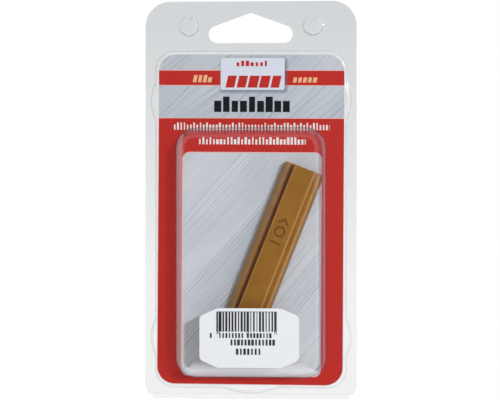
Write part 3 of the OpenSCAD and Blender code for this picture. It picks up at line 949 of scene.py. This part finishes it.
def labelInk():
    tree, places = inkTree()
    ink = inkMaterial("labelInk", label["ink"])
    middle = label["front"] + label["inkDeep"] / 2 - label["inkSunk"]
    build = bmesh.new()
    for start, up, count, pitch, least, most, height, seed in label["rows"]:
        piece = bpy.data.objects.new("inkRow", bpy.data.meshes.new("inkRow"))
        bpy.context.scene.collection.objects.link(piece)
        row = piece.modifiers.new("row", "NODES")
        row.node_group = tree
        values = {"Start": spot(start, label["up"] + up, middle), "Count": count, "Pitch": pitch * mm,
                  "Least Width": least * mm, "Most Width": most * mm, "Height": height * mm,
                  "Thickness": label["inkDeep"] * mm, "Seed": seed, "Ink": ink}
        for name, value in values.items():
            row[places[name]] = value
        applied(piece)
        build.from_mesh(piece.data)
        bpy.data.objects.remove(piece)
    printed = newObject("labelInk", build)
    printed.data.materials.append(ink)
    return printed


print("making the clear sheet")
front = frontSheet()
front.data.materials.append(clearPlastic("clearFront", clear["frontFilm"], clear["frontFilm"]))
back = backSheet()
back.data.materials.append(clearPlastic("clearBack", clear["backFilmTop"], clear["backFilmLow"]))

print("making the stick and the label")
wax = waxStick()
wax.data.materials.append(waxMaterial())
paper = labelPaper()
paper.data.materials.append(paperMaterial())
ink = labelInk()

print("dressing the card and the bead")


def dress(node, material):
    node.data.materials.clear()
    node.data.materials.append(material)


dress(nodes["insert_card"], printedCard())
dress(nodes["living_hinge"], clearPlastic("clearBead", clear["beadFilm"], clear["beadFilm"]))

for piece, body, node, slot in ((front, "front", "front_cover", "clear_front"),
                                (back, "back", "back_cover", "clear_back"),
                                (wax, "stick", "wax_stick", "wax"),
                                (paper, "front", "price_label", "label")):
    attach(piece, body)
    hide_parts(node)
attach(ink, "front")

studio = dict(floorUp=-0.335, floorSize=2.0, floorGrey=0.88, floorWhite=0.7, keyPower=12.0, keySize=0.11,
              keyAt=(0.78, -1.46, 0.4), keyColour=(0.95, 0.975, 1.0), fill=(1.0, 0.99, 0.965, 1),
              worldLeft=0.3, worldRight=0.94, worldBack=0.45, mirrorSide=0.9, mirrorFront=0.03,
              turn=(0.55, 0.93),
              aimX=-0.0003, aimUp=-0.0755, distance=0.48, azimuth=2.3, frame=0.2015, sensor=36)

print("setting floor, light and camera")


def floorMaterial():
    # the camera sees most of the floor as the same white as the world behind it
    material, tree = newMaterial("paleFloor")
    grey = studio["floorGrey"]
    diffuse = addNode(tree, "ShaderNodeBsdfDiffuse", {"Color": (grey, grey, grey, 1)}).outputs[0]
    white = addNode(tree, "ShaderNodeEmission", {"Color": (1, 1, 1, 1), "Strength": 1.0}).outputs[0]
    seen = addNode(tree, "ShaderNodeLightPath").outputs["Is Camera Ray"]
    surface(tree, mixShaders(tree, times(tree, seen, studio["floorWhite"]), diffuse, white))
    return material


def studioFloor():
    build = bmesh.new()
    half = studio["floorSize"] / 2
    corners = [build.verts.new((x, y, studio["floorUp"]))
               for x, y in ((-half, -half), (half, -half), (half, half), (-half, half))]
    build.faces.new(corners)
    floor = newObject("floor", build)
    floor.data.materials.append(floorMaterial())
    return floor


studioFloor()


def worldLight():
    world = bpy.data.worlds.new("studio")
    bpy.context.scene.world = world
    world.use_nodes = True
    tree = world.node_tree
    tree.nodes.clear()

    def background(colour, strength):
        return addNode(tree, "ShaderNodeBackground", {"Color": colour, "Strength": strength}).outputs[0]

    path = addNode(tree, "ShaderNodeLightPath").outputs
    way = splitUp(tree, addNode(tree, "ShaderNodeTexCoord").outputs["Generated"])
    # the side of the studio that the pack faces is dark, the rest is white
    facing = times(tree, way["Y"], -1.0)
    mirrored = mapRange(tree, facing, *studio["turn"], studio["mirrorSide"], studio["mirrorFront"])
    side = mapRange(tree, way["X"], -1.0, 1.0, studio["worldLeft"], studio["worldRight"])
    behind = mapRange(tree, way["Y"], 0.0, 1.0, 0.0, studio["worldBack"])
    soft = background(studio["fill"], plus(tree, side, behind))
    glossy = mixShaders(tree, path["Is Glossy Ray"], soft, background((1, 1, 1, 1), mirrored))
    shown = higher(tree, path["Is Camera Ray"], path["Is Transmission Ray"])
    seen = mixShaders(tree, shown, glossy, background((1, 1, 1, 1), 1.0))
    addNode(tree, "ShaderNodeOutputWorld", {"Surface": seen})


def setUp(name, data, aim, away):
    # a lamp or a camera that looks at its aim
    thing = bpy.data.objects.new(name, data)
    thing.location = aim + away
    thing.rotation_euler = (aim - thing.location).to_track_quat("-Z", "Y").to_euler()
    bpy.context.scene.collection.objects.link(thing)
    return thing


def keyLamp():
    data = bpy.data.lights.new("key", "AREA")
    data.size = studio["keySize"]
    data.energy = studio["keyPower"]
    data.color = studio["keyColour"]
    setUp("key", data, Vector((0, 0, studio["aimUp"])), Vector(studio["keyAt"]))


def photoCamera():
    data = bpy.data.cameras.new("camera")
    data.sensor_width = studio["sensor"]
    data.lens = studio["sensor"] * studio["distance"] / studio["frame"]
    data.clip_start = 0.01
    a = radians(studio["azimuth"])
    aim = Vector((studio["aimX"], 0, studio["aimUp"]))
    bpy.context.scene.camera = setUp("camera", data, aim, Vector((sin(a), -cos(a), 0)) * studio["distance"])


worldLight()
keyLamp()
photoCamera()
bpy.context.scene.view_settings.view_transform = "Standard"

print("done")
